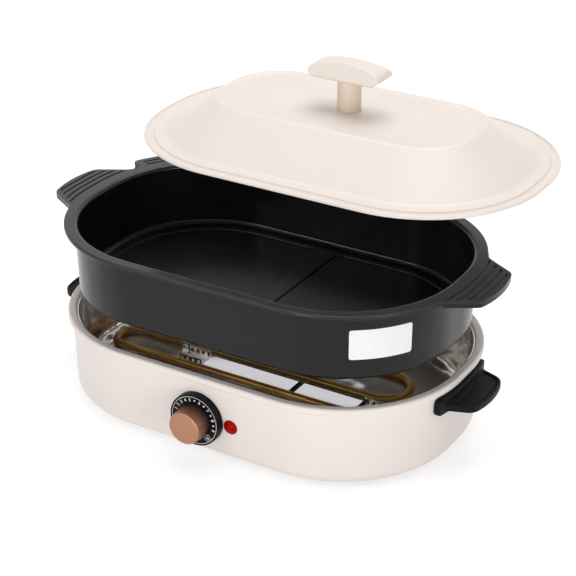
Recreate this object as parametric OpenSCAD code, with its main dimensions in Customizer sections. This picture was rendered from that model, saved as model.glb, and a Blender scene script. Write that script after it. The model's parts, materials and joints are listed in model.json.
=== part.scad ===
// Electric roaster: heated base, lift-out pan and lift-off lid, shown lifted apart.
// Heights are above the table. Offsets run outward from the rim's plan outline.

/* [Plan outline] */
// Length of the base over its rim
base_l = 380; // [340:5:440]
// Width of the base over its rim
base_w = 250; // [220:5:290]
// Straight run in the middle of each rounded end
end_flat = 20; // [8:1:50]

/* [Base shell] */
// Height of the rim above the table
base_h = 80; // [74:1:100]
// Width of the rim seen from above
rim_w = 8; // [6:0.5:11]
// Height of the rim bead
rim_h = 7; // [6:0.5:10]
// Edge radius of the rim bead
rim_r = 2.5; // [1:0.1:2.9]
// How far the rim stands out past the wall
overhang = 4; // [2:0.5:5]
// Wall thickness of the shell
wall_t = 2; // [1:0.1:2.6]
// How far the wall draws in from rim to foot
wall_in = 1.5; // [0.5:0.1:4]
// Radius where the wall turns under
base_r = 10; // [6:0.5:12]
// Width of the lip turned in under the base
lip_w = 16; // [14:0.5:24]

/* [Bottom] */
// Height of the rubber feet
foot_h = 4; // [3.5:0.1:8]
// Radius of a foot
foot_r = 5.5; // [4:0.1:7.8]
// Thickness of the bottom plate
plate_t = 1.5; // [0.8:0.1:2.5]
// Length of a vent slot in the bottom plate
vent_l = 44; // [20:1:60]
// Width of a vent slot
vent_w = 4; // [2:0.5:6]
// Pitch of the vent slots
vent_pitch = 11; // [8:0.5:16]
// Vent slots in each group
vent_n = 7; // [3:1:9]

/* [Reflector tray] */
// Sheet thickness of the tray
tray_t = 0.8; // [0.5:0.1:1.2]
// Clear height under the tray for wiring
tray_gap = 3.2; // [3:0.1:8]
// Height of the tray's upper wall below the rim
tray_upper = 27; // [15:1:35]
// How far the tray steps in below its upper wall
tray_step = 1.6; // [0.5:0.1:2]
// Radius between the tray's wall and floor
tray_r = 13; // [8:0.5:16]
// Drop of the tray's edge below the rim
tray_drop = 3; // [2.6:0.1:5]

/* [Heating element] */
// Diameter of the heating tube
tube_d = 7; // [6:0.5:10]
// Height of the tube above the tray floor
tube_lift = 0.8; // [0.5:0.1:3]
// Distance from the middle to each inner run
run_in = 17; // [14:0.5:22]
// Distance from the rim outline to each outer run
run_edge = 61; // [55:1:66]
// Distance from the left end of the rim to the inner bend
bend_left = 21; // [19:1:60]
// Distance from the right end of the rim to the outer bends
bend_right = 74; // [50:1:110]
// Distance from the left end of the rim to the tube's ends
tube_start = 72; // [68:1:110]

/* [Element fittings] */
// Length of a terminal block
block_l = 22; // [16:1:24]
// Width of a terminal block
block_w = 14; // [12:1:16]
// Width of the bright plates between the runs
bar_w = 22; // [16:0.5:24]
// Height of the bright plates
bar_h = 3.5; // [2.5:0.1:5]
// Length of the left bright plate
bar_left_l = 92; // [60:1:100]
// Length of the right bright plate
bar_right_l = 60; // [40:1:66]
// Gap between the two bright plates
bar_gap = 6; // [3:0.5:12]
// Middle of the gap between the bright plates
bar_gap_x = 25; // [15:1:30]
// Length of a slotted bracket
bracket_l = 24; // [18:1:28]
// Half the width of a slotted bracket
bracket_half = 8.8; // [6:0.1:10]
// Slots in each wall of a bracket
bracket_n = 4; // [2:1:6]
// Thickness of brackets and clips
strap_t = 0.6; // [0.5:0.1:1.2]
// Width of a tube clip
clip_w = 7; // [4:0.5:12]

/* [Control] */
// Height of the dial's middle above the table
dial_z = 39; // [38:0.5:46]
// Radius of the dial
dial_r = 24; // [20.5:0.5:24.5]
// How far the dial stands out from the wall
dial_t = 8; // [6:0.5:12]
// Width of the dial's raised edge
dial_lip = 1; // [0.8:0.1:3]
// Radius of the rotary regulator behind the dial
regulator_r = 17; // [12:0.5:18]
// Radius of the control shaft
shaft_r = 3; // [2:0.1:4]
// Radius of the knob
knob_r = 14.5; // [11:0.5:17]
// How much wider the knob is at the dial
knob_flare = 2; // [0:0.5:3]
// Length of the knob
knob_l = 16; // [12:0.5:22]
// Distance of the lamp from the dial's middle
lamp_x = 31.5; // [31:0.5:45]
// Height of the lamp above the table
lamp_z = 38; // [30:0.5:50]
// Radius of the lamp lens
lamp_r = 6.6; // [4:0.1:6.9]

/* [Base handles] */
// Half the length of a handle's back plate
grip_half = 43; // [38:0.5:50]
// Gap between a handle's back plate and the underside of the rim
grip_gap = 2; // [1.5:0.5:10]
// Height of a handle's back plate
grip_plate_h = 16.5; // [14:0.5:18]
// Thickness of a handle's back plate
grip_plate_t = 6; // [4:0.5:8]
// How far a handle reaches past the rim
grip_reach = 25; // [18:0.5:32]
// Half the width of a handle at its outer edge
grip_tip = 30; // [22:0.5:34]
// Radius of a handle's bowed outer edge
grip_bow = 85; // [60:5:160]
// Thickness of a handle's wing
grip_t = 7; // [5:0.5:9]
// Angle of a handle's screws from the middle of its rounded corner
grip_screw_a = 7; // [2:0.5:10]

/* [Cord bushing] */
// Radius of the cord bushing's hole
cord_r = 3.5; // [2:0.1:4.5]
// Height of the cord bushing above the table
cord_z = 22; // [20:0.5:30]
// Distance of the cord bushing from the middle of the back
cord_x = 50; // [0:1:60]

/* [Pan] */
// How far the pan is lifted above its seat
pan_lift = 80; // [64:1:120]
// Gap between a seated piece and its seat
seat_gap = 0.3; // [0.2:0.1:0.5]
// How far the pan's flange stops short of the rim's outer edge
pan_edge = 1; // [0.5:0.1:3]
// Edge radius of the pan's flange
pan_round = 1.5; // [0.6:0.1:1.9]
// Thickness of the pan's flange
flange_t = 4; // [4:0.1:6]
// Distance from the rim outline to the pan's outer wall
pan_wall_off = 10.5; // [10.2:0.1:13]
// How far the pan's wall draws in towards its floor
pan_draft = 1.2; // [1:0.1:4]
// Wall and floor thickness of the pan
pan_t = 3; // [2.5:0.1:4]
// Outer radius between the pan's wall and floor
pan_r = 5; // [4:0.5:12]
// Inner radius between the pan's wall and floor
pan_inner_r = 5; // [3:0.5:12]
// Clearance of the seated pan above the tube clips
pan_clear = 0.4; // [0.3:0.1:4]
// Depth of the recessed panels in the pan's floor
panel_d = 1.4; // [0.6:0.1:1.8]
// Width of the floor's border round the panels
panel_edge = 8; // [6.5:0.5:14]
// Width of the band between the two panels
panel_band = 20; // [8:0.5:30]
// Corner radius of the panels beside the band
panel_r = 10; // [4:0.5:20]

/* [Pan wings] */
// How far a wing reaches past the rim outline
wing_reach = 27; // [26:0.5:32]
// Half the width of a wing where its sides meet the flange
wing_root = 47; // [42:0.5:52]
// Half the width of a wing at its outer edge
wing_tip = 33; // [28:0.5:37]
// Radius of a wing's bowed outer edge
wing_bow = 100; // [90:5:160]
// Radius of a wing's outer corners
wing_r = 9; // [6:0.5:12]
// Radius where a wing's sides run into the flange
wing_blend = 16; // [6:0.5:18]
// Thickness of a wing
wing_t = 6; // [5:0.5:9]
// Clearance of a wing's underside round the rim
wing_clear = 1.5; // [0.5:0.1:3]
// Reach of the rear grip past the rim outline
tab_reach = 15; // [13:0.5:20]
// Angle where the rear grip starts, seen from above
tab_from = 124; // [105:1:130]
// Angle where the rear grip ends, seen from above
tab_to = 156; // [148:1:158]
// End radius of the rear grip
tab_r = 7; // [4:0.5:9]
// Offset of the first grip groove past the rim outline
groove_first = 0.4; // [0.2:0.1:1.2]
// Width of the grip grooves
groove_w = 2; // [1:0.1:2.2]
// Depth of the grip grooves
groove_d = 1.3; // [0.5:0.1:2]
// How far the grip grooves stop short of a wing's sides
groove_stop = 4; // [2:0.5:8]
// Pitch of the grip grooves
groove_pitch = 6.4; // [5:0.1:6.6]

/* [Lid] */
// How far the lid is lifted above its seat
lid_lift = 63; // [55:1:120]
// How far the lifted lid is shifted to the right
lid_right = 37; // [0:1:80]
// How far the lifted lid is shifted to the back
lid_back = 67; // [0:1:80]
// How far the lid's rim stops short of the rim outline
lid_edge = 5; // [4:0.1:7]
// Sheet thickness of the lid
lid_t = 1.5; // [1:0.1:2]
// Diameter of the rolled bead at the lid's edge
bead_d = 3.4; // [3.2:0.1:4]
// Rise of the lid's lower flange ring above the middle of the bead
ring_rise = 0.5; // [0.4:0.1:0.8]
// Width of the lid's lower flange ring
ring_low = 5.1; // [4:0.1:8]
// Width of the lid's upper flange ring
ring_high = 7; // [5:0.1:9]
// Step between the two flange rings
ring_step = 1.4; // [0.8:0.1:2]
// Radius where the lid's slope starts
slope_r = 8; // [4:0.5:14]
// Height of the lid's ridge above its seat
ridge_h = 35.3; // [28:0.1:46]
// Distance from the rim outline to the lid's ridge
ridge_off = 70.5; // [60:0.5:78]
// Radius of the lid's ridge
ridge_r = 6; // [4:0.5:12]
// Drop of the lid's flat top below its ridge
top_drop = 1.8; // [0.8:0.1:3]
// Radius where the lid's ridge runs into its flat top
dish_r = 6; // [4:0.5:12]

/* [Lid grip] */
// Radius of the grip's stem
stem_r = 10.5; // [9:0.5:13]
// Height of the grip's stem
stem_h = 28.2; // [22:0.1:36]
// Length of the grip
bar_len = 69; // [60:1:90]
// Width of the grip
bar_wide = 31; // [28:0.5:40]
// Height of the grip
bar_high = 16; // [14:0.5:20]
// Height of the grip's ends
bar_end_h = 10; // [8:0.5:13]
// Shank radius of the lid's screw
lid_screw_r = 2.5; // [2:0.1:4]
// How far the lid's screw reaches into the grip
lid_screw_in = 10; // [7:0.5:11]

/* [Fasteners] */
// Shank radius of the screws
screw_r = 1.6; // [1.2:0.1:2]
// Head radius of the screws
head_r = 3.2; // [2.6:0.1:4]
// Head height of the screws
head_h = 1.3; // [0.8:0.1:1.6]
// Play between pieces that are fixed together
fit = 0.1; // [0.05:0.05:0.2]
// Play of collars against the sloping wall
wall_play = 0.3; // [0.25:0.05:0.5]
// Radial play of the turning shaft
turn_fit = 0.06; // [0.03:0.01:0.1]

/* [Hidden] */
$fn = 96;

cream = [0.91, 0.87, 0.83];
black = [0.13, 0.13, 0.13];
steel = [0.75, 0.74, 0.72];
bronze = [0.55, 0.38, 0.14];
copper = [0.78, 0.52, 0.40];
rubber = [0.10, 0.10, 0.10];
ceramic = [0.92, 0.91, 0.87];

// Plan outline
corner_r = (base_w - end_flat) / 2;
half_l = base_l / 2 - corner_r;
half_w = end_flat / 2;

// How far a floor plate runs into the ring round it
lap = 3;

// Shell levels and offsets
wall_top = base_h - rim_h;
wall_foot = foot_h + base_r;
foot_off = -overhang - wall_in;
lip_off = foot_off - base_r - lip_w;
plate_z = foot_h + wall_t;
plate_off = foot_off - base_r - 1;
grip_z0 = wall_top - grip_gap - grip_plate_h;

// Tray and element levels
tray_under = plate_z + plate_t + tray_gap;
tray_floor = tray_under + tray_t;
tray_off = -rim_w - 3 * fit;
tray_top = base_h - tray_drop;
tray_flat = tray_off - tray_step - tray_t - tray_r;
tube_r = tube_d / 2;
tube_z = tray_floor + tube_lift + tube_r;
run_out = base_w / 2 - run_edge;
bend_out_r = (run_out - run_in) / 2;
bend_out_y = (run_out + run_in) / 2;
bend_out_x = base_l / 2 - bend_right - bend_out_r;
bend_in_x = -base_l / 2 + bend_left + run_in;
tube_end_x = -base_l / 2 + tube_start;
pin_r = tube_r - 1.5;
pin_l = block_l - 2;
block_x = tube_end_x - block_l - 1;
bar_right_x = bar_gap_x + bar_gap / 2;
bar_left_x = bar_gap_x - bar_gap / 2 - bar_left_l;

// Dial frame on the front wall
dial_y = -(base_w / 2 + wall_off(dial_z));
regulator_back = wall_t + 0.6;
regulator_front = dial_t - 3.4;
dial_sink = 0.4;

// Pan levels: seated on the rim, then lifted
flange_z = base_h + seat_gap;
pan_floor_z = tube_z + tube_r + fit + strap_t + pan_clear;
pan_deep = flange_z - pan_floor_z;
pan_foot_off = -pan_wall_off - pan_draft;
pan_flat_off = pan_foot_off - pan_t - pan_inner_r;
pan_top_in = -pan_wall_off - pan_t;
pan_plate_off = pan_flat_off - panel_edge / 2;
pan_rest = flange_z + pan_lift;

// Lid levels: seated on the pan's flange, then lifted
lid_rest = [lid_right, lid_back, pan_rest + flange_t + seat_gap + lid_lift];
bead_r = bead_d / 2;
bead_x = -lid_edge - bead_r;
ring_z = bead_r + ring_rise;
ring_x = bead_x - bead_r - ring_low;
foot_x = ring_x - 1 - ring_high;
foot_z = ring_z + ring_step;
ridge_z = ridge_h - ridge_r;
slope_dist = norm([foot_x + ridge_off, foot_z + slope_r - ridge_z]);
slope_a = atan2(foot_z + slope_r - ridge_z, foot_x + ridge_off)
    + acos((slope_r + ridge_r) / slope_dist);
ridge_a = acos(1 - top_drop / (ridge_r + dish_r));
dish_x = -ridge_off - (ridge_r + dish_r) * sin(ridge_a);
lid_top_z = ridge_h - top_drop;
lid_plate_off = dish_x - 8;
washer_t = 1.2;
lid_head_h = 3;

// Points along a circular arc, from one angle to the other
function arc(x, y, r, a0, a1, n = 6) =
    [for (i = [0:n]) let (a = a0 + (a1 - a0) * i / n) [x + r * cos(a), y + r * sin(a)]];

// Offset of the shell's outer wall at a height
function wall_off(z) = -overhang - wall_in * (wall_top - z) / (wall_top - wall_foot);

// Plan outline of the rim, grown by an offset
module outline(e) {
    for (x = [-half_l, half_l], y = [-half_w, half_w])
        translate([x, y]) circle(r = corner_r + e);
    square([2 * half_l, base_w + 2 * e], center = true);
    square([base_l + 2 * e, 2 * half_w], center = true);
}

// A profile of offset and height, carried round the plan outline
module around(points) {
    centres = [[half_l, half_w], [-half_l, half_w], [-half_l, -half_w], [half_l, -half_w]];
    for (q = [0:3]) {
        run = q % 2 == 0 ? 2 * half_w : 2 * half_l;
        reach = q % 2 == 0 ? half_l : half_w;
        translate(centres[q]) rotate(90 * q)
            rotate_extrude(angle = 90) translate([corner_r, 0]) polygon(points);
        rotate(90 * q) translate([reach + corner_r, run / 2, 0])
            rotate([90, 0, 0]) linear_extrude(run) polygon(points);
    }
}

// Places children on the front wall, with their z axis pointing out of it
module on_front(x, z) {
    translate([x, -(base_w / 2 + wall_off(z)), z]) rotate([90, 0, 0]) children();
}

// Block that fills the front wall, to cut pieces that seat on it
module front_wall() {
    deep = 40;
    rotate([90, 0, 90]) linear_extrude(2 * half_l, center = true)
        polygon([
            [-(base_w / 2 + wall_off(wall_top)) - fit, wall_top],
            [-(base_w / 2 + wall_off(wall_foot)) - fit, wall_foot],
            [-base_w / 2 + deep, wall_foot],
            [-base_w / 2 + deep, wall_top]
        ]);
}

// Places children at the four corners, on a ring at an offset
module at_corners(e) {
    for (sx = [-1, 1], sy = [-1, 1])
        translate([
            sx * (half_l + (corner_r + e) * cos(45)),
            sy * (half_w + (corner_r + e) * sin(45)),
            0
        ]) children();
}

// Places children at the bottom screws, along the middle of the lip
module at_bottom_screws() {
    e = lip_off + lip_w / 2;
    for (x = [-half_l, half_l], s = [-1, 1])
        translate([x, s * (base_w / 2 + e), 0]) children();
    for (s = [-1, 1])
        translate([s * (base_l / 2 + e), 0, 0]) children();
}

// Places children at a handle's two screws, with z pointing into the handle
module at_handle_screws(side) {
    z = grip_z0 + grip_plate_h / 2;
    for (s = [-1, 1])
        translate([side * half_l, s * half_w, z])
            rotate(90 - side * 90 + side * s * grip_screw_a)
                translate([corner_r + wall_off(z), 0, 0]) rotate([0, 90, 0]) children();
}

module base_shell() color(cream) {
    profile = concat(
        [[lip_off, foot_h]],
        arc(foot_off - base_r, wall_foot, base_r, 270, 360),
        [[-overhang, wall_top]],
        arc(-rim_r, wall_top + rim_r, rim_r, 270, 360, 4),
        arc(-rim_r, base_h - rim_r, rim_r, 0, 90, 4),
        arc(rim_r - rim_w, base_h - rim_r, rim_r, 90, 180, 4),
        [[-rim_w, wall_top], [-overhang - wall_t, wall_top], [foot_off - wall_t, wall_foot]],
        arc(foot_off - base_r, wall_foot, base_r - wall_t, 360, 270),
        [[lip_off, foot_h + wall_t]]
    );
    difference() {
        around(profile);
        on_front(0, dial_z) translate([0, 0, -10]) cylinder(r = regulator_r + 2 * fit, h = 20);
        on_front(lamp_x, lamp_z) translate([0, 0, -10]) cylinder(r = lamp_r - 1.2 + fit, h = 20);
        at_bottom_screws() cylinder(r = screw_r + fit, h = plate_z + 1);
        for (side = [-1, 1])
            at_handle_screws(side) translate([0, 0, -10]) cylinder(r = screw_r + fit, h = 20);
        translate([cord_x, base_w / 2, cord_z]) rotate([90, 0, 0])
            translate([0, 0, -10]) cylinder(r = cord_r + 2 + fit, h = 30);
    }
}

module bottom_plate() color(steel) {
    difference() {
        translate([0, 0, plate_z]) linear_extrude(plate_t) outline(plate_off);
        at_bottom_screws() cylinder(r = screw_r + fit, h = 2 * plate_z);
        for (side = [-1, 1], i = [0:vent_n - 1])
            translate([side * 70 + (i - (vent_n - 1) / 2) * vent_pitch, 0, plate_z - 1])
                linear_extrude(plate_t + 2) {
                    square([vent_w, vent_l - vent_w], center = true);
                    for (s = [-1, 1])
                        translate([0, s * (vent_l - vent_w) / 2]) circle(d = vent_w);
                }
    }
}

module bottom_screws() color(steel) {
    at_bottom_screws() {
        translate([0, 0, foot_h - head_h]) cylinder(r = head_r, h = head_h - 0.01);
        translate([0, 0, foot_h - 0.02]) cylinder(r = screw_r, h = wall_t + plate_t + 1.2);
    }
}

module feet() color(rubber) {
    chamfer = 0.8;
    at_corners(lip_off + foot_r)
        rotate_extrude() polygon([
            [0, 0], [foot_r - chamfer, 0], [foot_r, chamfer], [foot_r, foot_h], [0, foot_h]
        ]);
}

module reflector_tray() color(steel) {
    low = tray_off - tray_step;
    step_z = tray_top - tray_upper;
    turn_z = tray_under + tray_r + tray_t;
    inner = tray_flat - 6;
    profile = concat(
        [[tray_off, tray_top], [tray_off, step_z], [low, step_z - 3]],
        arc(low - tray_r - tray_t, turn_z, tray_r + tray_t, 0, -90),
        [[inner, tray_under], [inner, tray_floor]],
        arc(low - tray_r - tray_t, turn_z, tray_r, -90, 0),
        [[low - tray_t, step_z - 2.6], [tray_off - tray_t, step_z + 0.4], [tray_off - tray_t, tray_top]]
    );
    around(profile);
    translate([0, 0, tray_under]) linear_extrude(tray_t) outline(inner + lap);
}

module tray_standoffs() color(steel) {
    at_corners(tray_flat - 14)
        translate([0, 0, plate_z + plate_t]) cylinder(r = 4, h = tray_gap);
}

module limit_thermostat() color(black) {
    disc_h = tray_gap - 0.6;
    translate([0, -run_out / 2, tray_under - disc_h]) {
        cylinder(r = 8, h = disc_h);
        translate([0, 0, disc_h - 1]) linear_extrude(1) square([30, 8], center = true);
    }
}

// Straight stretch of tube along the x axis
module tube_run(x0, x1, y) {
    translate([x0, y, tube_z]) rotate([0, 90, 0]) cylinder(r = tube_r, h = x1 - x0);
}

// Half turn of tube that bulges along the x axis
module tube_bend(x, y, r, side) {
    translate([x, y, tube_z]) rotate(side > 0 ? -90 : 90)
        rotate_extrude(angle = 180) translate([r, 0]) circle(r = tube_r);
}

module heating_element() color(bronze) {
    tube_bend(bend_in_x, 0, run_in, -1);
    for (s = [-1, 1]) {
        tube_run(bend_in_x, bend_out_x, s * run_in);
        tube_bend(bend_out_x, s * bend_out_y, bend_out_r, 1);
        tube_run(tube_end_x, bend_out_x, s * run_out);
        translate([tube_end_x - pin_l, s * run_out, tube_z]) rotate([0, 90, 0])
            cylinder(r = pin_r, h = pin_l + 1);
    }
}

module terminal_blocks() color(ceramic) {
    high = tube_z + tube_r + strap_t - tray_floor;
    for (s = [-1, 1])
        difference() {
            translate([block_x, s * run_out - block_w / 2, tray_floor]) cube([block_l, block_w, high]);
            translate([tube_end_x - pin_l - fit, s * run_out, tube_z]) rotate([0, 90, 0])
                cylinder(r = pin_r + fit, h = pin_l + 2);
        }
}

// Bright folded plate that stands between the inner runs
module heat_plate(x0, length) {
    turn = 2.5;
    translate([x0, 0, tray_floor]) rotate([90, 0, 90]) linear_extrude(length)
        polygon([
            [-bar_w / 2, 0], [-bar_w / 2 + turn, bar_h], [bar_w / 2 - turn, bar_h], [bar_w / 2, 0],
            [bar_w / 2 - tray_t, 0], [bar_w / 2 - turn - tray_t, bar_h - tray_t],
            [-bar_w / 2 + turn + tray_t, bar_h - tray_t], [-bar_w / 2 + tray_t, 0]
        ]);
}

module heat_plate_left() color(steel) heat_plate(bar_left_x, bar_left_l);

module heat_plate_right() color(steel) heat_plate(bar_right_x, bar_right_l);

// Channel with slotted walls, between the inner runs
module element_bracket(x0) {
    high = tube_z - tray_floor + 3.5;
    pitch = bracket_l / bracket_n;
    slot_w = 2.4;
    margin = 2;
    translate([x0, -bracket_half, tray_floor]) difference() {
        cube([bracket_l, 2 * bracket_half, high]);
        translate([-1, strap_t, strap_t])
            cube([bracket_l + 2, 2 * bracket_half - 2 * strap_t, high]);
        for (i = [0:bracket_n - 1])
            translate([(i + 0.5) * pitch - slot_w / 2, -1, margin])
                cube([slot_w, 2 * bracket_half + 2, high - 2 * margin]);
    }
}

module element_bracket_left() color(steel) element_bracket(bar_left_x - bracket_l - 2);

module element_bracket_right() color(steel) element_bracket(bar_right_x + bar_right_l + 2);

// Strap over a run, with one foot on the tray floor
module tube_clip(x, y) {
    inner = tube_r + fit;
    outer = inner + strap_t;
    down = tube_z - tray_floor;
    foot = 4;
    side = sign(y);
    translate([x - clip_w / 2, y, tray_floor]) rotate([90, 0, 90]) linear_extrude(clip_w)
        difference() {
            union() {
                translate([0, down]) circle(r = outer);
                translate([-outer, 0]) square([2 * outer, down]);
                translate([side > 0 ? outer - 1 : -outer - foot, 0]) square([foot + 1, strap_t]);
            }
            translate([0, down]) circle(r = inner);
            translate([-inner, -1]) square([2 * inner, down + 1]);
        }
}

module tube_clips() color(steel) {
    for (x = [tube_end_x + 40, bend_out_x - 20], s = [-1, 1]) tube_clip(x, s * run_out);
    tube_clip(bend_out_x - 6, -run_in);
    tube_clip(bar_left_x - bracket_l - 10, run_in);
}

// Outline of a wing in plan: bowed outer edge, rounded corners, sides that run into a rim at an offset
module wing_plan(reach, bow, root, tip, r, blend, rim) {
    x = base_l / 2 + reach;
    ring = corner_r + rim;
    root_x = half_l + sqrt(pow(ring, 2) - pow(root - half_w, 2));
    spread = asin((tip - r) / (bow - r));
    tip_c = [x - bow + (bow - r) * cos(spread), tip - r];
    reach_c = tip_c - [root_x, root];
    side_a = atan2(reach_c[1], reach_c[0]) + asin(r / norm(reach_c));
    out = [-sin(side_a), cos(side_a)];
    along = [cos(side_a), sin(side_a)];
    centre = [half_l, half_w];
    rise = blend + (([root_x, root] - centre) * out);
    blend_c = centre + rise * out + sqrt(pow(ring + blend, 2) - pow(rise, 2)) * along;
    meet = centre - blend_c;
    half = concat(
        arc(x - bow, 0, bow, 0, spread, 6),
        arc(tip_c[0], tip_c[1], r, spread, 90 + side_a),
        arc(blend_c[0], blend_c[1], blend, side_a - 90, atan2(meet[1], meet[0]))
    );
    inner = [[base_l / 2 - 30, blend_c[1]], [base_l / 2 - 30, -blend_c[1]]];
    polygon(concat(half, inner, [for (i = [len(half) - 1:-1:1]) [half[i][0], -half[i][1]]]));
}

module base_handle() {
    z1 = grip_z0 + grip_plate_h;
    w0 = wall_off(grip_z0) + fit;
    w1 = wall_off(z1) + fit;
    edge = 2;
    corner = 5;
    wing_z = grip_z0 + 3.5;
    blend = 5;
    round_r = 12;
    lip = 3;
    dish = 1.4;
    face = w0 + grip_plate_t;
    root = grip_half - 8;
    difference() {
        union() {
            intersection() {
                around([
                    [w0, grip_z0], [w0 + grip_plate_t - edge, grip_z0],
                    [w0 + grip_plate_t, grip_z0 + edge], [w1 + grip_plate_t, z1 - edge],
                    [w1 + grip_plate_t - edge, z1], [w1, z1]
                ]);
                translate([base_l / 2 - 40, 0, grip_z0 + grip_plate_h / 2]) rotate([90, 0, 90])
                    linear_extrude(60) {
                        square([2 * (grip_half - corner), grip_plate_h], center = true);
                        square([2 * grip_half, grip_plate_h - 2 * corner], center = true);
                        for (y = [-1, 1], z = [-1, 1])
                            translate([y * (grip_half - corner), z * (grip_plate_h / 2 - corner)])
                                circle(r = corner);
                    }
            }
            difference() {
                translate([0, 0, wing_z]) linear_extrude(grip_t) difference() {
                    wing_plan(grip_reach, grip_bow, root, grip_tip, round_r, blend, face);
                    outline(w0 + 2);
                }
                translate([0, 0, wing_z + grip_t - dish]) linear_extrude(grip_t) difference() {
                    wing_plan(
                        grip_reach - lip, grip_bow - lip, root - lip, grip_tip - lip,
                        round_r - lip, blend, face
                    );
                    outline(face + lip);
                }
            }
        }
        at_handle_screws(1) translate([0, 0, -5]) cylinder(r = screw_r + fit, h = 9.5);
    }
}

module base_handle_right() color(black) base_handle();

module base_handle_left() color(black) rotate(180) base_handle();

module handle_screws() color(steel) {
    for (side = [-1, 1])
        at_handle_screws(side) {
            translate([0, 0, -wall_t - head_h - 0.4]) cylinder(r = head_r, h = head_h);
            translate([0, 0, -wall_t - 0.5]) cylinder(r = screw_r, h = wall_t + 4.5);
        }
}

module dial_plate() color(black) {
    edge = 0.6;
    difference() {
        on_front(0, dial_z)
            rotate_extrude() polygon(concat(
                [[shaft_r + 0.5, -2], [dial_r, -2]],
                arc(dial_r - edge, dial_t - edge, edge, 0, 90, 4),
                [
                    [dial_r - dial_lip, dial_t], [dial_r - dial_lip - 0.3, dial_t - dial_sink],
                    [shaft_r + 0.5, dial_t - dial_sink]
                ]
            ));
        on_front(0, dial_z) translate([0, 0, -3])
            cylinder(r = regulator_r + fit, h = regulator_front + 3 + fit);
        front_wall();
    }
}

module regulator() color(ceramic) {
    on_front(0, dial_z) difference() {
        translate([0, 0, -regulator_back]) cylinder(r = regulator_r, h = regulator_back + regulator_front);
        translate([0, 0, -regulator_back - 1])
            cylinder(r = shaft_r + turn_fit, h = regulator_back + regulator_front + 2);
    }
}

module lamp_lens() color([0.60, 0.05, 0.04]) {
    dome = 3;
    ball = (pow(lamp_r, 2) + pow(dome, 2)) / (2 * dome);
    tilt = asin(lamp_r / ball);
    on_front(lamp_x, lamp_z) rotate_extrude() polygon(concat(
        [[0, -wall_t - 1.8], [lamp_r - 1.2, -wall_t - 1.8], [lamp_r - 1.2, wall_play], [lamp_r, wall_play]],
        arc(0, dome + 0.7 - ball, ball, 90 - tilt, 90)
    ));
}

module lamp_retainer() color(black) {
    on_front(lamp_x, lamp_z) translate([0, 0, -wall_t - 1.3 - wall_play]) difference() {
        cylinder(r = lamp_r, h = 1.3);
        translate([0, 0, -1]) cylinder(r = lamp_r - 1.2 + fit, h = 4);
    }
}

module cord_bushing() color(rubber) {
    y = base_w / 2 + wall_off(cord_z);
    collar = 1.6;
    translate([cord_x, y, cord_z]) rotate([-90, 0, 0]) rotate_extrude() polygon([
        [cord_r, -wall_t - collar], [cord_r + 4, -wall_t - collar], [cord_r + 4, -wall_t - wall_play],
        [cord_r + 2, -wall_t - wall_play], [cord_r + 2, wall_play], [cord_r + 4, wall_play],
        [cord_r + 3.2, wall_play + collar], [cord_r, wall_play + collar]
    ]);
}

module control_shaft() color(steel) {
    on_front(0, dial_z) translate([0, 0, -regulator_back])
        cylinder(r = shaft_r, h = regulator_back + dial_t + knob_l - 4);
}

module knob_core() color(black) {
    on_front(0, dial_z) difference() {
        rotate_extrude() polygon([
            [0, dial_t - dial_sink + 0.5], [knob_r - 3, dial_t - dial_sink + 0.5],
            [knob_r - 3, dial_t + 0.5], [knob_r - 1.4 - fit, dial_t + 1],
            [knob_r - 1.4 - fit, dial_t + knob_l - 2 - fit], [0, dial_t + knob_l - 2 - fit]
        ]);
        translate([0, 0, dial_t - 5]) cylinder(r = shaft_r + turn_fit, h = knob_l + 1 + fit);
    }
}

module knob_cap() color(copper) {
    edge = 1.6;
    on_front(0, dial_z) rotate_extrude() polygon(concat(
        [[knob_r - 1.4, dial_t + 0.8], [knob_r + knob_flare, dial_t + 0.8]],
        arc(knob_r - edge, dial_t + knob_l - edge, edge, 0, 90, 5),
        [[0, dial_t + knob_l], [0, dial_t + knob_l - 2], [knob_r - 1.4, dial_t + knob_l - 2]]
    ));
}

// Grooves that follow the rim, cut into the top of a wing inside a plan
module rim_grooves(count) {
    for (i = [0:count - 1]) let (e = groove_first + i * groove_pitch)
        translate([0, 0, flange_t - groove_d]) linear_extrude(groove_d + 1) intersection() {
            difference() {
                outline(e + groove_w);
                outline(e);
            }
            children();
        }
}

// Rounded plan of one floor panel, on the right of the band
module panel_plan() {
    edge = panel_band / 2;
    wide = base_w / 2 + pan_flat_off - panel_edge - panel_r;
    intersection() {
        outline(pan_flat_off - panel_edge);
        union() {
            translate([edge + panel_r, -base_w]) square([base_l, 2 * base_w]);
            translate([edge, -wide]) square([panel_r + 1, 2 * wide]);
            for (s = [-1, 1]) translate([edge + panel_r, s * wide]) circle(r = panel_r);
        }
    }
}

// Ring sector in plan about the rear left corner
module corner_sector(r0, r1, a0, a1) {
    far = 2 * r1;
    intersection() {
        difference() {
            circle(r = r1);
            circle(r = r0);
        }
        polygon([[0, 0], [far * cos(a0), far * sin(a0)], [far * cos(a1), far * sin(a1)]]);
    }
}

// Rounded grip on the pan's rear left corner
module tab_plan(root) {
    tip = corner_r + tab_reach;
    turn = asin(tab_r / (tip - tab_r));
    swell = 0.1;
    translate([-half_l, half_w]) {
        corner_sector(corner_r + root, tip, tab_from + turn, tab_to - turn);
        corner_sector(corner_r + root, tip - tab_r, tab_from, tab_to);
        for (a = [tab_from + turn, tab_to - turn]) rotate(a)
            translate([tip - tab_r, 0]) circle(r = tab_r + swell);
    }
}

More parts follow.
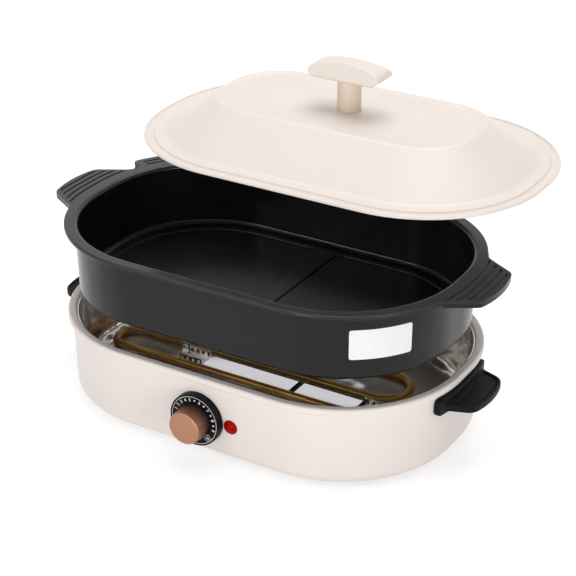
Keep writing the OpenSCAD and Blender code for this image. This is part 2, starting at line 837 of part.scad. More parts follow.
module pan_wing() {
    land = 3;
    difference() {
        union() {
            linear_extrude(flange_t) difference() {
                wing_plan(wing_reach, wing_bow, wing_root, wing_tip, wing_r, wing_blend, -pan_edge);
                outline(-pan_edge - pan_round);
            }
            translate([0, 0, flange_t - wing_t]) linear_extrude(wing_t) difference() {
                wing_plan(wing_reach, wing_bow, wing_root, wing_tip, wing_r, wing_blend, -pan_edge);
                outline(wing_clear);
            }
        }
        rim_grooves(4) wing_plan(
            wing_reach - land, wing_bow - land, wing_root - groove_stop, wing_tip - groove_stop,
            wing_r, wing_blend, -pan_edge
        );
    }
}

module pan_tab() {
    difference() {
        union() {
            linear_extrude(flange_t) tab_plan(-pan_edge - pan_round);
            translate([0, 0, flange_t - wing_t]) linear_extrude(wing_t) tab_plan(wing_clear);
        }
        rim_grooves(2) translate([-half_l, half_w])
            corner_sector(corner_r - 1, corner_r + tab_reach - 1, tab_from + 4, tab_to - 4);
    }
}

module pan_shell() color(black) {
    low = -pan_deep;
    bend = 4;
    edge_x = -pan_edge - pan_round;
    profile = concat(
        [[-pan_wall_off, 0]],
        arc(edge_x, pan_round, pan_round, -90, 0, 4),
        arc(edge_x, flange_t - pan_round, pan_round, 0, 90, 4),
        arc(pan_top_in + bend, flange_t - bend, bend, 90, 180, 4),
        arc(pan_flat_off, low + pan_t + pan_inner_r, pan_inner_r, 0, -90),
        [[pan_plate_off, low + pan_t], [pan_plate_off, low]],
        arc(pan_foot_off - pan_r, low + pan_r, pan_r, -90, 0)
    );
    translate([0, 0, pan_rest]) {
        around(profile);
        difference() {
            translate([0, 0, low]) linear_extrude(pan_t) outline(pan_plate_off + lap);
            for (turn = [0, 180])
                translate([0, 0, low + pan_t - panel_d]) rotate(turn) linear_extrude(pan_t) panel_plan();
        }
        for (turn = [0, 180]) rotate(turn) pan_wing();
        pan_tab();
    }
}

module lid_shell() color(cream) {
    top = concat(
        [[ring_x, ring_z], [ring_x - 1, foot_z]],
        arc(foot_x, foot_z + slope_r, slope_r, 270, 180 + slope_a),
        arc(-ridge_off, ridge_z, ridge_r, slope_a, 90 + ridge_a, 8),
        arc(dish_x, lid_top_z + dish_r, dish_r, 270 + ridge_a, 270, 4),
        [[lid_plate_off, lid_top_z]]
    );
    under = concat(
        [[lid_plate_off, lid_top_z - lid_t]],
        arc(dish_x, lid_top_z + dish_r, dish_r + lid_t, 270, 270 + ridge_a, 4),
        arc(-ridge_off, ridge_z, ridge_r - lid_t, 90 + ridge_a, slope_a, 8),
        arc(foot_x, foot_z + slope_r, slope_r + lid_t, 180 + slope_a, 270),
        [[ring_x - 0.4, foot_z - lid_t], [ring_x + 0.6, ring_z - lid_t]]
    );
    bead = arc(bead_x, bead_r, bead_r, asin((lid_t - ring_rise) / bead_r) - 180,
        180 - asin(ring_rise / bead_r), 16);
    translate(lid_rest) {
        around(concat(bead, top, under));
        translate([0, 0, lid_top_z - lid_t]) linear_extrude(lid_t) difference() {
            outline(lid_plate_off + lap);
            circle(r = lid_screw_r + fit);
        }
    }
}

module lid_stem() color(cream) {
    flare = 0.7;
    translate(lid_rest) translate([0, 0, lid_top_z]) rotate_extrude() polygon([
        [lid_screw_r + fit, 0], [stem_r + flare, 0], [stem_r, 2 * flare],
        [stem_r, stem_h], [lid_screw_r + fit, stem_h]
    ]);
}

module lid_grip() color(cream) {
    half = bar_len / 2;
    wide = bar_wide / 2;
    crown = bar_high - bar_end_h;
    top_half = half - 2;
    crown_r = (pow(top_half, 2) + pow(crown, 2)) / (2 * crown);
    sweep = asin(top_half / crown_r);
    translate(lid_rest) translate([0, 0, lid_top_z + stem_h]) difference() {
        intersection() {
            rotate([90, 0, 0]) linear_extrude(2 * bar_wide, center = true) polygon(concat(
                [[-half + 6, 0], [half - 6, 0], [half, 5]],
                arc(0, bar_high - crown_r, crown_r, 90 - sweep, 90 + sweep, 10),
                [[-half, 5]]
            ));
            rotate([90, 0, 90]) linear_extrude(2 * bar_len, center = true) polygon([
                [-wide + 2, 0], [wide - 2, 0], [wide, 2], [wide, 4.5], [wide / 2, bar_high + 1],
                [-wide / 2, bar_high + 1], [-wide, 4.5], [-wide, 2]
            ]);
        }
        translate([0, 0, -1]) cylinder(r = lid_screw_r + fit, h = lid_screw_in + 1 + 2 * fit);
    }
}

module lid_screw() color(steel) {
    under = lid_top_z - lid_t - washer_t - fit;
    translate(lid_rest) rotate_extrude() polygon([
        [0, under - lid_head_h], [4.2, under - lid_head_h], [5, under - lid_head_h + 1], [5, under],
        [lid_screw_r, under], [lid_screw_r, lid_top_z + stem_h + lid_screw_in],
        [0, lid_top_z + stem_h + lid_screw_in]
    ]);
}

module lid_washer() color(rubber) {
    translate(lid_rest) translate([0, 0, lid_top_z - lid_t - washer_t]) difference() {
        cylinder(r = 8, h = washer_t);
        translate([0, 0, -1]) cylinder(r = lid_screw_r + fit, h = washer_t + 2);
    }
}

base_shell();
bottom_plate();
bottom_screws();
feet();
reflector_tray();
tray_standoffs();
limit_thermostat();
heating_element();
terminal_blocks();
heat_plate_left();
heat_plate_right();
element_bracket_left();
element_bracket_right();
tube_clips();
base_handle_left();
base_handle_right();
handle_screws();
dial_plate();
regulator();
lamp_lens();
lamp_retainer();
cord_bushing();
control_shaft();
knob_core();
knob_cap();
pan_shell();
lid_shell();
lid_stem();
lid_grip();
lid_screw();
lid_washer();
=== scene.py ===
import json
import math

import bmesh
import bpy
from mathutils import Color, Matrix, Vector


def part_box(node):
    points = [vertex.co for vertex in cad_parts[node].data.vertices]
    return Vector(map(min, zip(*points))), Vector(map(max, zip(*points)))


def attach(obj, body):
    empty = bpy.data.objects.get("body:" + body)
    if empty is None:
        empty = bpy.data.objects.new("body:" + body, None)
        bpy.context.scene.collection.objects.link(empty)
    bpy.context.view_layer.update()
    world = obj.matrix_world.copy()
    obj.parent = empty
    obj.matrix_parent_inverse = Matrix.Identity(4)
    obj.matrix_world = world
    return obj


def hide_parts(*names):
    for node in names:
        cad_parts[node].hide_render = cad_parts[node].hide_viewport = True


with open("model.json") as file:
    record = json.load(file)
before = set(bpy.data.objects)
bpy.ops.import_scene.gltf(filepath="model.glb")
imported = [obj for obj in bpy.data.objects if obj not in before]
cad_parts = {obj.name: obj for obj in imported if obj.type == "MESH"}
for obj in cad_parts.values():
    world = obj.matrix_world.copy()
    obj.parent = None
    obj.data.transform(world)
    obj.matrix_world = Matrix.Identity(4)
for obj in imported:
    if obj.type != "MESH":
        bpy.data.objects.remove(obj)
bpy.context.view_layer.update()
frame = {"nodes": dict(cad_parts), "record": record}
nodes = frame["nodes"]
mm = 0.001
print("frame:", len(nodes), "nodes")


# A shader socket that takes part in Python arithmetic
class Value:
    def __init__(self, graph, socket):
        self.graph = graph
        self.socket = socket

    def combine(self, operation, other):
        return self.graph.node("ShaderNodeMath", {0: self, 1: other}, operation=operation)

    def __add__(self, other):
        return self.combine("ADD", other)

    def __sub__(self, other):
        return self.combine("SUBTRACT", other)

    def __mul__(self, other):
        return self.combine("MULTIPLY", other)

    def orElse(self, other):
        return self.combine("MAXIMUM", other)

    def span(self, low, high):
        inputs = {"Value": self, "From Min": low, "From Max": high}
        return self.graph.node("ShaderNodeMapRange", inputs)


# The node tree of a material or of the world
class Graph:
    def __init__(self, owner):
        owner.use_nodes = True
        self.tree = owner.node_tree

    def set(self, target, inputs):
        for key, value in inputs.items():
            if isinstance(value, Value):
                self.tree.links.new(value.socket, target.inputs[key])
            else:
                target.inputs[key].default_value = value

    def node(self, kind, inputs, output=0, **settings):
        made = self.tree.nodes.new(kind)
        for key, value in settings.items():
            setattr(made, key, value)
        self.set(made, inputs)
        return Value(self, made.outputs[output])

    def coordinate(self, name):
        return self.node("ShaderNodeTexCoord", {}, name)


# Inputs of the Principled shader, and the mix node's sockets that hold colours
shaderInputs = {
    "colour": "Base Color", "rough": "Roughness", "metal": "Metallic",
    "specular": "Specular IOR Level", "normal": "Normal",
}
mixSockets = {"factor": 0, "first": 6, "second": 7, "result": 2}


# One procedural material around its Principled shader
class Paint(Graph):
    def __init__(self, name):
        self.material = bpy.data.materials.new(name)
        super().__init__(self.material)
        self.shader = self.tree.nodes["Principled BSDF"]

    def place(self, stretch=(1, 1, 1)):
        inputs = {"Vector": self.coordinate("Object"), "Scale": stretch}
        return self.node("ShaderNodeMapping", inputs)

    def axis(self, name, coordinate="Object"):
        return self.node("ShaderNodeSeparateXYZ", {0: self.coordinate(coordinate)}, name)

    def noise(self, where, scale, detail):
        inputs = {"Vector": where, "Scale": scale, "Detail": detail}
        return self.node("ShaderNodeTexNoise", inputs)

    def mix(self, factor, first, second):
        inputs = {mixSockets["factor"]: factor, mixSockets["first"]: first,
                  mixSockets["second"]: second}
        return self.node("ShaderNodeMix", inputs, mixSockets["result"], data_type="RGBA")

    def bump(self, height, strength, depth):
        inputs = {"Height": height, "Strength": strength, "Distance": depth * mm}
        return self.node("ShaderNodeBump", inputs)

    def feed(self, **inputs):
        self.set(self.shader, {shaderInputs[key]: value for key, value in inputs.items()})
        return self.material


# A colour as a screen shows it, 0 to 255, in the shaders' linear scale
def rgb(*parts):
    return (*Color([part / 255 for part in parts]).from_srgb_to_scene_linear(), 1)


# Finishes: a noise is given by scale and detail, a bump by strength and depth in mm
satin = {"cloud": (9, 3), "peel": (320, 2), "bump": (0.1, 0.2), "roughSpread": 0.1}


# Enamel, and the grip and stem that match it: a faint cloud and a fine peel
def satinEnamel(name, light, dark, rough):
    paint = Paint(name)
    where = paint.place()
    cloud = paint.noise(where, *satin["cloud"])
    peel = paint.noise(where, *satin["peel"])
    return paint.feed(
        colour=paint.mix(cloud, light, dark),
        rough=cloud * satin["roughSpread"] + rough,
        normal=paint.bump(peel, *satin["bump"]),
    )


moulded = {
    "specular": 0.11, "cloud": (30, 4), "grain": (1400, 3), "bump": (0.25, 0.2),
    "roughSpread": 0.16,
}


# Black plastic and rubber with a fine moulded grain
def mouldedPlastic(name, light, dark, rough):
    paint = Paint(name)
    where = paint.place()
    cloud = paint.noise(where, *moulded["cloud"])
    grain = paint.noise(where, *moulded["grain"])
    return paint.feed(
        specular=moulded["specular"],
        colour=paint.mix(cloud, light, dark),
        rough=cloud * moulded["roughSpread"] + rough,
        normal=paint.bump(grain, *moulded["bump"]),
    )


casting = {
    "specular": 0.26, "cloud": (22, 3), "pebble": (1300, 2), "speck": (2600, 1),
    "bump": (0.08, 0.2), "rough": 0.17, "roughSpread": 0.08, "floorRough": 0.1,
    "floorThick": 3, "floorFade": 3, "flangeThick": 2, "flangeFade": 1,
}


# Coated casting, rougher on its floor than on its walls, with a painted highlight that makes its
# flange paler
def coatedCasting(name, light, dark, pale):
    low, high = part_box("pan_shell")
    floor = low[2] + casting["floorThick"] * mm
    flange = high[2] - casting["flangeThick"] * mm
    paint = Paint(name)
    where = paint.place()
    cloud = paint.noise(where, *casting["cloud"])
    pebble = paint.noise(where, *casting["pebble"])
    speck = paint.noise(where, *casting["speck"])
    height = paint.axis("Z")
    matt = height.span(floor + casting["floorFade"] * mm, floor)
    # painted highlight: the flange's top band takes the paler colour
    flangeHighlight = height.span(flange - casting["flangeFade"] * mm, flange)
    spread = cloud * casting["roughSpread"] + matt * casting["floorRough"]
    return paint.feed(
        specular=casting["specular"],
        colour=paint.mix(flangeHighlight, paint.mix(speck, light, dark), pale),
        rough=spread + casting["rough"],
        normal=paint.bump(pebble, *casting["bump"]),
    )


polished = {
    "smear": (40, 4), "smearStretch": (1, 1, 0.15),
    "wrinkle": (34, 1), "wrinkleStretch": (1, 1, 0.12), "bump": (0.7, 5),
    "floorMetal": 0.5, "wallMetal": 0.85, "wallFade": 12, "roughSpread": 0.14,
}


# Bright crumpled sheet: mirrored walls above a duller floor
def polishedSheet(name, light, dark, rough):
    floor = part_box("reflector_tray")[0][2]
    paint = Paint(name)
    smear = paint.noise(paint.place(polished["smearStretch"]), *polished["smear"])
    wrinkle = paint.noise(paint.place(polished["wrinkleStretch"]), *polished["wrinkle"])
    wall = paint.axis("Z").span(floor, floor + polished["wallFade"] * mm)
    more = polished["wallMetal"] - polished["floorMetal"]
    return paint.feed(
        colour=paint.mix(smear, light, dark),
        rough=smear * polished["roughSpread"] + rough,
        metal=wall * more + polished["floorMetal"],
        normal=paint.bump(wrinkle, *polished["bump"]),
    )


heated = {
    "band": (28, 3), "bandStretch": (1, 3, 3), "bandSpan": (0.35, 0.7),
    "fleck": (700, 3), "fleckSpan": (0.62, 0.9), "bump": (0.2, 0.2),
    "rough": 0.24, "roughSpread": 0.2, "metal": 0.25, "metalSpread": 0.2,
}


# Tube that heat has tinted in bands, with dark flecks
def heatedTube(name, gold, brown, dark):
    paint = Paint(name)
    band = paint.noise(paint.place(heated["bandStretch"]), *heated["band"])
    fleck = paint.noise(paint.place(), *heated["fleck"])
    tint = paint.mix(band.span(*heated["bandSpan"]), gold, brown)
    return paint.feed(
        colour=paint.mix(fleck.span(*heated["fleckSpan"]), tint, dark),
        rough=band * heated["roughSpread"] + heated["rough"],
        metal=fleck * heated["metalSpread"] + heated["metal"],
        normal=paint.bump(fleck, *heated["bump"]),
    )


plain = {"scale": 80, "detail": 4, "bump": (0.08, 0.3), "roughSpread": 0.15}


# Sheet, ceramic, print and paper: one cloud for colour, gloss and relief
def plainFinish(name, light, dark, rough, metal=0.0, scale=plain["scale"]):
    paint = Paint(name)
    cloud = paint.noise(paint.place(), scale, plain["detail"])
    return paint.feed(
        metal=metal,
        colour=paint.mix(cloud, light, dark),
        rough=cloud * plain["roughSpread"] + rough,
        normal=paint.bump(cloud, *plain["bump"]),
    )


mirrored = {"metal": 0.9, "cloud": (40, 3), "faceSpan": (0.85, 0.98), "roughSpread": 0.06}


# Mirror-bright plate whose sideways faces get a painted shade, a dark colour set by how far they
# turn from straight up
def mirrorPlate(name, face, edge, rough):
    paint = Paint(name)
    cloud = paint.noise(paint.place(), *mirrored["cloud"])
    # painted shade: the less a face points up, the more of the dark edge colour it gets
    upward = paint.axis("Z", "Normal").span(*mirrored["faceSpan"])
    return paint.feed(
        metal=mirrored["metal"],
        colour=paint.mix(upward, edge, face),
        rough=cloud * mirrored["roughSpread"] + rough,
    )


lensed = {"specular": 0.06, "cloud": (300, 2), "rough": 0.16, "roughSpread": 0.1}


# Red lens of the signal lamp
def signalLens(name, bright, dialShade):
    paint = Paint(name)
    cloud = paint.noise(paint.place(), *lensed["cloud"])
    return paint.feed(
        specular=lensed["specular"],
        colour=paint.mix(cloud, bright, dialShade),
        rough=cloud * lensed["roughSpread"] + lensed["rough"],
    )


spun = {
    "metal": 0.75, "rings": (90, 3), "ringStretch": (1, 30, 1), "cloud": (60, 2),
    "bump": (0.08, 0.2), "roughSpread": 0.15,
}


# The knob's face
def spunCopper(name, light, dark, rough):
    paint = Paint(name)
    rings = paint.noise(paint.place(spun["ringStretch"]), *spun["rings"])
    cloud = paint.noise(paint.place(), *spun["cloud"])
    return paint.feed(
        metal=spun["metal"],
        colour=paint.mix(cloud, light, dark),
        rough=rings * spun["roughSpread"] + rough,
        normal=paint.bump(rings, *spun["bump"]),
    )


knurled = {
    "metal": 0.55, "cloud": (260, 3), "bump": (0.15, 0.2), "streak": 0.25, "lighten": 0.12,
    "rough": 0.3, "roughSpread": 0.2,
}


# The knob's side, copper with a painted shade that darkens it towards the dial
def knurledCopper(name, light, dark):
    low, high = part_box("knob_cap")
    paint = Paint(name)
    cloud = paint.noise(paint.place(), *knurled["cloud"])
    depth = paint.axis("Y").span(low[1], high[1])
    # painted shade: darker towards the dial, broken up by the cloud
    dialShade = (depth + cloud * knurled["streak"] - knurled["lighten"]).span(0, 1)
    return paint.feed(
        metal=knurled["metal"],
        colour=paint.mix(dialShade, light, dark),
        rough=cloud * knurled["roughSpread"] + knurled["rough"],
        normal=paint.bump(cloud, *knurled["bump"]),
    )


finishes = {
    "enamel": satinEnamel("creamEnamel", rgb(236, 227, 222), rgb(232, 222, 216), 0.32),
    "lid": satinEnamel("creamLid", rgb(236, 226, 218), rgb(231, 220, 211), 0.32),
    "grip": satinEnamel("creamGrip", rgb(233, 223, 214), rgb(228, 218, 208), 0.36),
    "stem": satinEnamel("beigeStem", rgb(221, 204, 186), rgb(214, 197, 178), 0.34),
    "black": mouldedPlastic("blackMoulding", rgb(15, 15, 16), rgb(10, 10, 11), 0.42),
    "dial": mouldedPlastic("dialMoulding", rgb(14, 14, 15), rgb(9, 9, 10), 0.36),
    "rubber": mouldedPlastic("blackRubber", rgb(34, 34, 34), rgb(24, 24, 24), 0.7),
    # the pan's third colour is the painted highlight on its flange
    "pan": coatedCasting("nonStickCoat", rgb(18, 18, 18), rgb(12, 12, 12), rgb(38, 38, 38)),
    "bright": polishedSheet("polishedTray", rgb(236, 232, 227), rgb(206, 199, 191), 0.1),
    # the plates' second colour is the painted shade on their sideways edges
    "plates": mirrorPlate("brightPlates", rgb(210, 207, 210), rgb(60, 57, 54), 0.06),
    "sheet": plainFinish("plainSheet", rgb(205, 203, 200), rgb(170, 168, 164), 0.24, 1.0),
    "steel": plainFinish("platedSteel", rgb(200, 200, 200), rgb(170, 170, 170), 0.22, 1.0),
    "tube": heatedTube("heatedTube", rgb(206, 160, 84), rgb(172, 126, 58), rgb(92, 66, 36)),
    "ceramic": plainFinish("whiteCeramic", rgb(232, 229, 222), rgb(214, 210, 202), 0.55),
    "copper": spunCopper("copperFace", rgb(178, 131, 104), rgb(167, 120, 94), 0.34),
    # the knob side's dark colour is its painted shade near the dial
    "knurl": knurledCopper("copperSide", rgb(150, 102, 74), rgb(16, 12, 10)),
    "lens": signalLens("redLens", rgb(168, 3, 3), rgb(138, 2, 2)),
    "print": plainFinish("whitePrint", rgb(246, 246, 245), rgb(236, 236, 235), 0.5, scale=500),
    "paper": plainFinish("labelPaper", rgb(241, 241, 240), rgb(235, 235, 234), 0.6, scale=220),
}
print("finishes:", len(finishes))

# CAD nodes that keep their own mesh
nodeFinish = {
    "black": ["knob_core", "limit_thermostat", "lamp_retainer"],
    "rubber": ["feet", "lid_washer"],
    "sheet": ["bottom_plate"],
    "steel": ["bottom_screws", "tray_standoffs", "handle_screws", "control_shaft", "lid_screw"],
    "ceramic": ["terminal_blocks", "regulator"],
}
for finish, names in nodeFinish.items():
    for name in names:
        nodes[name].data.materials.clear()
        nodes[name].data.materials.append(finishes[finish])
print("finished nodes:", sum(len(names) for names in nodeFinish.values()))

bodies = frame["record"]["behaviour"]["bodies"]
bodyOf = {name: body for body, names in bodies.items() for name in names}

# Meshing: angles in degrees, the merging distance in mm
meshing = {"crease": 38, "merge": 0.01, "flatAngle": 0.5, "shadeWeight": 60}


# A finished piece from a bmesh: smooth faces, sharp creases, its body and its finishes
def addPiece(name, bm, body, coats, crease, replaced=()):
    mesh = bpy.data.meshes.new(name)
    bm.to_mesh(mesh)
    bm.free()
    for face in mesh.polygons:
        face.use_smooth = True
    mesh.set_sharp_from_angle(angle=math.radians(crease))
    for coat in coats:
        mesh.materials.append(finishes[coat])
    piece = bpy.data.objects.new(name, mesh)
    bpy.context.scene.collection.objects.link(piece)
    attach(piece, body)
    if replaced:
        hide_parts(*replaced)
    return piece


def evenShade(piece):
    shade = piece.modifiers.new("evenShade", "WEIGHTED_NORMAL")
    shade.keep_sharp = True
    shade.weight = meshing["shadeWeight"]


def mergeVerts(bm):
    bmesh.ops.remove_doubles(bm, verts=bm.verts, dist=meshing["merge"] * mm)


# A CAD node's own mesh, merged, with rounded edges
def softCopy(node, name, slot, finish, edge=0.0, segments=2):
    bm = bmesh.new()
    bm.from_mesh(nodes[node].data)
    mergeVerts(bm)
    flat = math.radians(meshing["flatAngle"])
    bmesh.ops.dissolve_limit(bm, angle_limit=flat, verts=bm.verts, edges=bm.edges)
    piece = addPiece(name, bm, bodyOf[node], [finish], meshing["crease"], [node])
    if edge:
        soft = piece.modifiers.new("softEdge", "BEVEL")
        soft.width = edge * mm
        soft.segments = segments
        soft.limit_method = "ANGLE"
        soft.angle_limit = math.radians(meshing["crease"])
        soft.use_clamp_overlap = False
    evenShade(piece)


# For each node: piece, slot, finish, and where edges are rounded their width and segments
softPieces = {
    "base_shell": ("baseShell", "cream_enamel", "enamel", 0.5, 2),
    "reflector_tray": ("reflectorTray", "bright_sheet", "bright"),
    "heating_element": ("heatingTube", "tinted_tube", "tube"),
    "heat_plate_left": ("heatPlateLeft", "bright_sheet", "plates"),
    "heat_plate_right": ("heatPlateRight", "bright_sheet", "plates"),
    "element_bracket_left": ("bracketLeft", "steel_sheet", "sheet", 0.12, 1),
    "element_bracket_right": ("bracketRight", "steel_sheet", "sheet", 0.12, 1),
    "tube_clips": ("tubeClips", "steel_sheet", "sheet", 0.12, 1),
    "base_handle_left": ("handleLeft", "black_plastic", "black", 1.1, 3),
    "base_handle_right": ("handleRight", "black_plastic", "black", 1.1, 3),
    "dial_plate": ("dialPlate", "black_plastic", "dial", 0.25, 2),
    "cord_bushing": ("cordBushing", "black_rubber", "rubber", 0.3, 2),
    "lamp_lens": ("lampLens", "red_lens", "lens", 0.2, 2),
    "pan_shell": ("roastingPan", "coated_casting", "pan", 0.45, 2),
    "lid_stem": ("lidStem", "beige_metal", "stem", 0.5, 2),
    "lid_grip": ("lidGrip", "cream_plastic", "grip", 1.6, 4),
}
for node, piece in softPieces.items():
    softCopy(node, *piece)
print("soft copies:", len(softPieces))


def middleOf(node):
    low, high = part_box(node)
    return (Vector(low) + Vector(high)) / 2


def onlyEdges(geometry):
    return [item for item in geometry if isinstance(item, bmesh.types.BMEdge)]


def onlyVerts(geometry):
    return [item for item in geometry if isinstance(item, bmesh.types.BMVert)]


def edgesAmong(edges, verts):
    return [edge for edge in edges if edge.verts[0] in verts and edge.verts[1] in verts]


# Rounds single corners of a wire or a sheet
def roundCorners(bm, verts, radius, segments):
    bmesh.ops.bevel(bm, geom=verts, offset=radius * mm, offset_type="OFFSET",
                    segments=segments, profile=0.5, affect="VERTICES", material=-1)


# A flat rectangle around the middle of a place
def addSheet(bm, wide, high, place):
    size = Matrix.Diagonal((wide * mm / 2, high * mm / 2, 1, 1))
    bmesh.ops.create_grid(bm, x_segments=1, y_segments=1, size=1, matrix=place @ size)


# Plan of the rim that pan, lid and base share
rim = {"halfLong": 75, "halfWide": 10, "corner": 115, "turnSteps": 22, "roundSteps": 5}


# A place in the plane of the right end: offset from the rim, height
def onRim(out, height):
    return Vector((rim["halfLong"] + rim["corner"] + out, -rim["halfWide"], height)) * mm


# A profile in that plane: each corner's offset, height and rounding
def profileWire(bm, corners):
    points = [bm.verts.new(onRim(out, height)) for out, height, _ in corners]
    for pair in zip(points, points[1:]):
        bm.edges.new(pair)
    for point, (_, _, rounding) in zip(points, corners):
        if rounding:
            roundCorners(bm, [point], rounding, rim["roundSteps"])
    return list(bm.edges)


# Carries edges once round the rim: four straight runs and four turned corners
def sweepAround(bm, edges):
    runs = {(1, 1): (0, 2), (-1, 1): (-2, 0), (-1, -1): (0, -2), (1, -1): (2, 0)}
    halves = Vector((rim["halfLong"], rim["halfWide"], 0)) * mm
    for corner, run in runs.items():
        made = onlyVerts(bmesh.ops.extrude_edge_only(bm, edges=edges)["geom"])
        bmesh.ops.translate(bm, vec=halves * Vector((*run, 0)), verts=made)
        lead = edgesAmong(bm.edges, set(made))
        turned = bmesh.ops.spin(bm, geom=made + lead, cent=halves * Vector((*corner, 0)),
                                axis=(0, 0, 1), dvec=(0, 0, 0), angle=math.pi / 2,
                                steps=rim["turnSteps"], use_merge=False)
        edges = onlyEdges(turned["geom_last"])
    mergeVerts(bm)


# Lid: flat top, ridge, sloping sides and two flange rings of sheet, and a rolled bead
lid = {
    "corners": [(-84, 33.5, 0), (-75.11, 33.5, 1.71), (-70.27, 36.5, 3.99), (-24.06, 3.6, 2.56),
                (-14.5, 3.6, 0.5), (-13.5, 2.2, 0.5), (-8.2, 2.2, 0)],
    "sheet": 1.5, "beadOff": -6.7, "beadRadius": 1.7, "beadSides": 16, "crease": 50,
}


# The bead as a mesh of its own
def beadMesh():
    bm = bmesh.new()
    ring = bmesh.ops.create_circle(bm, segments=lid["beadSides"], radius=lid["beadRadius"] * mm)
    bmesh.ops.rotate(bm, verts=ring["verts"], matrix=Matrix.Rotation(math.pi / 2, 3, "X"))
    start = onRim(lid["beadOff"], lid["beadRadius"])
    bmesh.ops.translate(bm, verts=ring["verts"], vec=start)
    sweepAround(bm, list(bm.edges))
    bmesh.ops.recalc_face_normals(bm, faces=bm.faces)
    bead = bpy.data.meshes.new("beadOnly")
    bm.to_mesh(bead)
    bm.free()
    return bead


def makeLid():
    bm = bmesh.new()
    sweepAround(bm, profileWire(bm, lid["corners"]))
    top = max(vert.co.z for vert in bm.verts)
    inner = [e for e in bm.edges if e.is_boundary and e.verts[0].co.z > top / 2]
    bmesh.ops.edgeloop_fill(bm, edges=inner)
    bmesh.ops.recalc_face_normals(bm, faces=bm.faces)
    bmesh.ops.solidify(bm, geom=bm.faces, thickness=lid["sheet"] * mm)
    bead = beadMesh()
    bm.from_mesh(bead)
    bpy.data.meshes.remove(bead)
    place = middleOf("lid_shell")
    place.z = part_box("lid_shell")[0][2]
    bmesh.ops.translate(bm, verts=bm.verts, vec=place)
    evenShade(addPiece("lidShell", bm, "lid", ["lid"], lid["crease"],
                       ["lid_shell"]))
    return top


print("lid: ridge %.1f mm above its rim" % (makeLid() / mm))

# Knob: side that widens towards the dial, knurl that ends before the front, round edge, flat face
knob = {
    "ridges": 64, "radius": 16.5, "frontRadius": 14.5, "knurl": (0.55, 0.14), "foot": 0.6,
    "fade": 2.2, "fadeStep": 0.8, "edge": 1.1, "edgeSteps": 4, "crease": 42,
}


def makeKnob():
    low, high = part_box("knob_cap")
    length = (high[1] - low[1]) / mm
    bm = bmesh.new()
    bottom = bmesh.ops.create_circle(bm, segments=2 * knob["ridges"], radius=knob["radius"] * mm)
    smooth = length - knob["fade"]
    loops = [bottom["verts"]]
    edges = list(bm.edges)
    for height in [knob["foot"], smooth - knob["fadeStep"], smooth, length]:
        made = bmesh.ops.extrude_edge_only(bm, edges=edges)["geom"]
        loop = onlyVerts(made)
        edges = edgesAmong(onlyEdges(made), set(loop))
        lift = height * mm - loop[0].co.z
        bmesh.ops.translate(bm, verts=loop, vec=(0, 0, lift))
        radius = knob["radius"] + (knob["frontRadius"] - knob["radius"]) * height / length
        scale = radius * mm / loop[0].co.xy.length
        bmesh.ops.scale(bm, verts=loop, vec=(scale, scale, 1))
        loops.append(loop)
    step = math.pi / knob["ridges"]
    for loop, depth in zip(loops[1:], knob["knurl"]):
        groove = [v for v in loop if round(math.atan2(v.co.y, v.co.x) / step) % 2]
        small = 1 - depth / knob["radius"]
        bmesh.ops.scale(bm, verts=groove, vec=(small, small, 1))
    face = bmesh.ops.edgeloop_fill(bm, edges=edges)["faces"]
    bmesh.ops.edgeloop_fill(bm, edges=[e for e in bm.edges if e.is_boundary])
    bmesh.ops.recalc_face_normals(bm, faces=bm.faces)
    face[0].material_index = 1
    bmesh.ops.bevel(bm, geom=edges, offset=knob["edge"] * mm, offset_type="OFFSET",
                    segments=knob["edgeSteps"], profile=0.5, affect="EDGES", material=1)
    middle = middleOf("knob_cap")
    middle.y = high[1]
    facing = Matrix.Translation(middle) @ Matrix.Rotation(math.pi / 2, 4, "X")
    bmesh.ops.transform(bm, matrix=facing, verts=bm.verts)
    evenShade(addPiece("knobCap", bm, "knob", ["knurl", "copper"], knob["crease"],
                       ["knob_cap"]))


makeKnob()
print("knob: %d ridges" % knob["ridges"])

# Dial print: a thin ring line, marks from low to high, and a framed mark for off
dial = {
    "sink": 0.4, "thick": 0.06, "ringRadius": 22.3, "ringWide": 0.36, "ringSides": 120,
    "marks": "12345.6.7.8.9", "markRadius": 19.1, "from": 160, "step": -14.5,
    "size": 4.2, "bold": 0.05, "dotRadius": 0.8, "dotSides": 16,
    "offMark": "0", "offAngle": -46, "offWide": 5.6, "offHigh": 5.2, "offLine": 0.36,
    "crease": 30,
}


# Flat outline of one written character
def writtenMark(character):
    curve = bpy.data.curves.new("mark", "FONT")
    curve.body = character
    curve.size = dial["size"] * mm
    curve.offset = dial["bold"] * mm
    curve.align_x = "CENTER"
    curve.align_y = "CENTER"
    text = bpy.data.objects.new("mark", curve)
    bpy.context.scene.collection.objects.link(text)
    bpy.context.view_layer.update()
    seen = text.evaluated_get(bpy.context.evaluated_depsgraph_get())
    flat = bpy.data.meshes.new_from_object(seen)
    bpy.data.objects.remove(text)
    bpy.data.curves.remove(curve)
    return flat


def onDial(degrees):
    turn = math.radians(degrees)
    spot = Vector((math.cos(turn), math.sin(turn), 0)) * dial["markRadius"] * mm
    return Matrix.Translation(spot) @ Matrix.Rotation(turn - math.pi / 2, 4, "Z")


# Leaves only a line along the edge of faces
def keepBorder(bm, faces, wide):
    bmesh.ops.inset_individual(bm, faces=faces, thickness=wide * mm)
    bmesh.ops.delete(bm, geom=faces, context="FACES")


def addMark(bm, mark, place):
    if mark == ".":
        bmesh.ops.create_circle(bm, cap_ends=True, segments=dial["dotSides"],
                                radius=dial["dotRadius"] * mm, matrix=place)
        return
    flat = writtenMark(mark)
    flat.transform(place)
    bm.from_mesh(flat)
    bpy.data.meshes.remove(flat)


